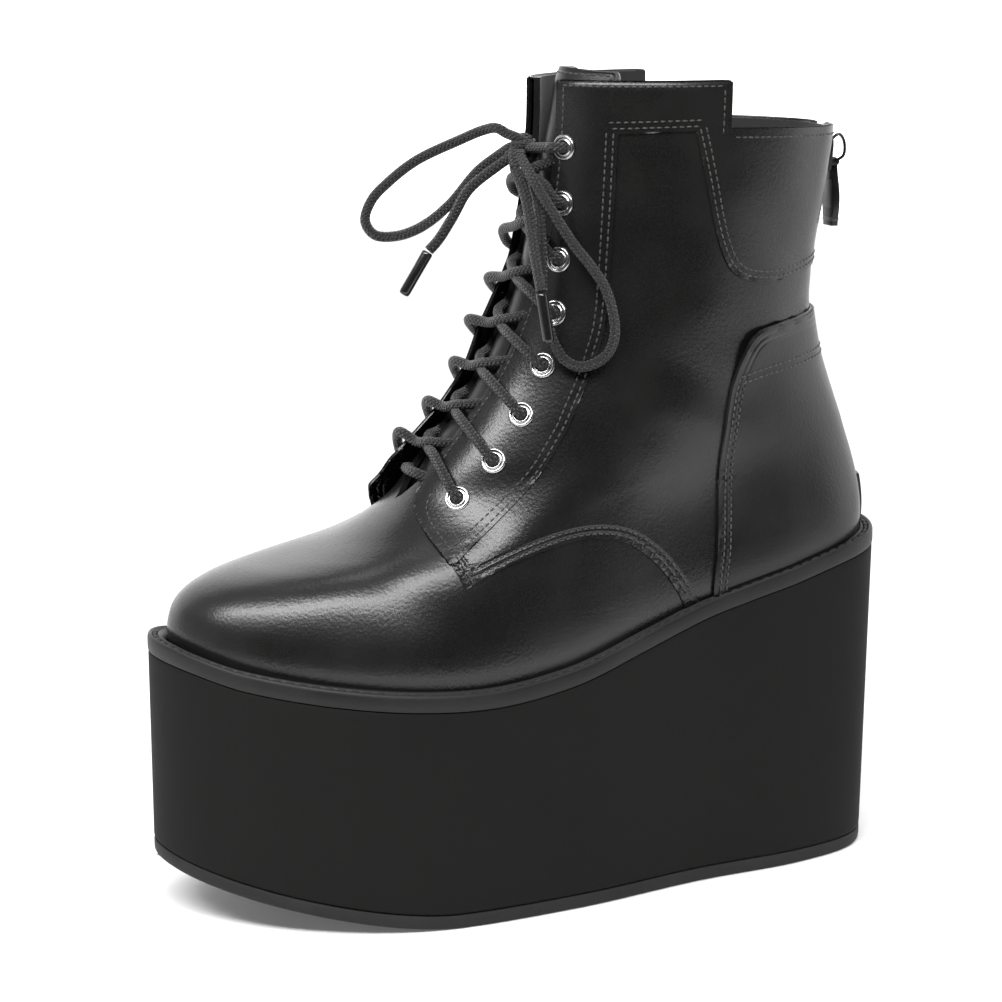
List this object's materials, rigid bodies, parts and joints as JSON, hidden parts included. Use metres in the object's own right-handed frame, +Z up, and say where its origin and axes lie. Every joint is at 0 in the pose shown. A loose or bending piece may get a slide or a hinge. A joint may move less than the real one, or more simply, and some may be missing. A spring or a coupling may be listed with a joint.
{
  "type": "platform boot",
  "caption": "Ankle-high lace-up boot on a very thick one-piece platform, with round toe, stepped collar, laced front and a zip up the back.",
  "frame": {"origin": "on the ground under the middle of the sole's length, on the flat part of the outsole", "axes": "+Z up, toe towards -Y, heel towards +Y, outer side of the left foot towards +X"},
  "size_m": [0.1019, 0.268, 0.2855],
  "materials": {
    "leather": "smooth, semi-gloss black, fine grain",
    "lining": "matt black",
    "foam": "matt black moulded foam with a leathery skin",
    "outsole_rubber": "matt black rubber",
    "welt_rubber": "dark grey, satin",
    "eyelet_steel": "polished, silver",
    "zip_metal": "black, glossy",
    "pull_metal": "black, glossy",
    "lace_cord": "waxed black braid",
    "aglet_plastic": "clear over black, glossy"
  },
  "bodies": {
    "boot": {"outsole": "outsole_rubber", "platform": "foam", "welt": "welt_rubber", "insole": "lining", "upper": "leather", "counter_outer": "leather", "counter_inner": "leather", "back_stay": "leather", "zip_chain": "zip_metal", "tongue": "leather", "eyelet_outer_1": "eyelet_steel", "eyelet_inner_1": "eyelet_steel", "eyelet_outer_2": "eyelet_steel", "eyelet_inner_2": "eyelet_steel", "eyelet_outer_3": "eyelet_steel", "eyelet_inner_3": "eyelet_steel", "eyelet_outer_4": "eyelet_steel", "eyelet_inner_4": "eyelet_steel", "eyelet_outer_5": "eyelet_steel", "eyelet_inner_5": "eyelet_steel", "eyelet_outer_6": "eyelet_steel", "eyelet_inner_6": "eyelet_steel", "eyelet_outer_7": "eyelet_steel", "eyelet_inner_7": "eyelet_steel", "eyelet_outer_8": "eyelet_steel", "eyelet_inner_8": "eyelet_steel", "lace_crossing_1": "lace_cord", "lace_crossing_2": "lace_cord", "lace_crossing_3": "lace_cord", "lace_crossing_4": "lace_cord", "lace_crossing_5": "lace_cord", "lace_crossing_6": "lace_cord", "lace_crossing_7": "lace_cord", "lace_bottom_bar": "lace_cord", "lace_top_outer": "lace_cord", "lace_top_inner": "lace_cord", "lace_knot": "lace_cord", "lace_loop_left": "lace_cord", "lace_loop_right": "lace_cord", "lace_end_left": "lace_cord", "lace_end_right": "lace_cord", "aglet_left": "aglet_plastic", "aglet_right": "aglet_plastic", "zip_slider": "zip_metal"},
    "zip_pull": {"zip_pull": "pull_metal"}
  },
  "joints": [
    {"name": "zip_pull_swing", "type": "hinge", "parent": "boot", "child": "zip_pull", "pos_m": [0, 0.11891, 0.2495], "axis": [1, 0, 0], "range_deg": [-10, 165]}
  ]
}
